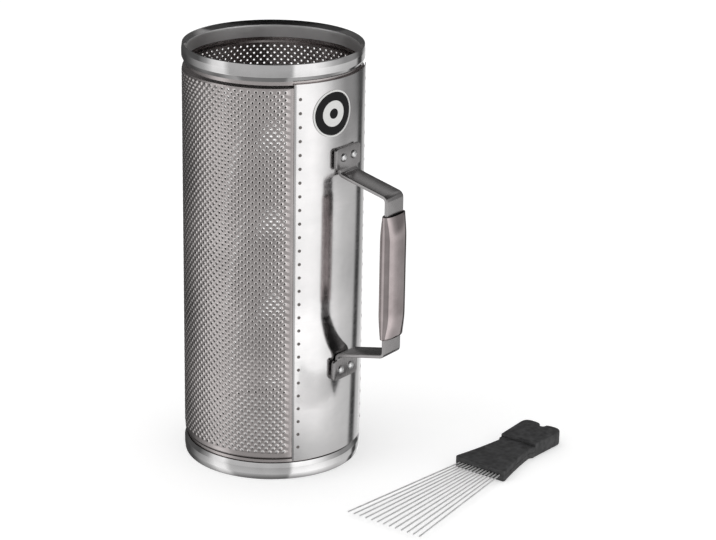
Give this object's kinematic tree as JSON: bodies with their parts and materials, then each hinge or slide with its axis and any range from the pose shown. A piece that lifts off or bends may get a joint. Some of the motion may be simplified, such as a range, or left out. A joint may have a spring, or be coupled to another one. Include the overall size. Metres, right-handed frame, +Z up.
{
  "type": "guira",
  "caption": "Open scraping tube of perforated steel sheet with rolled rim bands, a plain riveted back panel and carrying handle, and a tined hand scraper lying beside it.",
  "frame": {"origin": "on the surface that the set stands on, under the middle of the bounding box of the tube and the scraper together", "axes": "+Z up along the tube's axis, +X from the tube towards its handle and the scraper, tines of the scraper pointing along -Y"},
  "size_m": [0.3054, 0.2498, 0.38],
  "materials": {
    "perforated_steel": "satin stainless sheet",
    "panel_steel": "polished stainless sheet",
    "band_steel": "polished",
    "handle_steel": "satin",
    "grip_steel": "polished",
    "rivet_aluminium": "bright",
    "badge_black": "gloss",
    "badge_white": "satin",
    "scraper_plastic": "fine moulded grain",
    "tine_steel": "drawn spring wire",
    "screw_steel": "plated"
  },
  "bodies": {
    "guira": {"scraping_sheet": "perforated_steel", "back_panel": "panel_steel", "bottom_band": "band_steel", "top_band": "band_steel", "handle_strap": "handle_steel", "handle_grip": "grip_steel", "rivet_upper_a": "rivet_aluminium", "rivet_upper_b": "rivet_aluminium", "rivet_lower_a": "rivet_aluminium", "rivet_lower_b": "rivet_aluminium", "rivet_washer_upper_a": "rivet_aluminium", "rivet_washer_upper_b": "rivet_aluminium", "rivet_washer_lower_a": "rivet_aluminium", "rivet_washer_lower_b": "rivet_aluminium", "badge_disc": "badge_black", "badge_ring": "badge_white"},
    "scraper": {"scraper_body_lower": "scraper_plastic", "scraper_body_upper": "scraper_plastic", "scraper_cap": "scraper_plastic", "tine_bar": "screw_steel", "tine_01": "tine_steel", "tine_02": "tine_steel", "tine_03": "tine_steel", "tine_04": "tine_steel", "tine_05": "tine_steel", "tine_06": "tine_steel", "tine_07": "tine_steel", "tine_08": "tine_steel", "tine_09": "tine_steel", "tine_10": "tine_steel", "tine_11": "tine_steel", "tine_12": "tine_steel", "tine_13": "tine_steel", "scraper_screw_1": "screw_steel", "scraper_screw_2": "screw_steel", "scraper_screw_3": "screw_steel"}
  },
  "joints": [
    {"name": "scraper_lift", "type": "slide", "parent": "guira", "child": "scraper", "axis": [0, 0, 1], "range_m": [0, 0.4]}
  ]
}
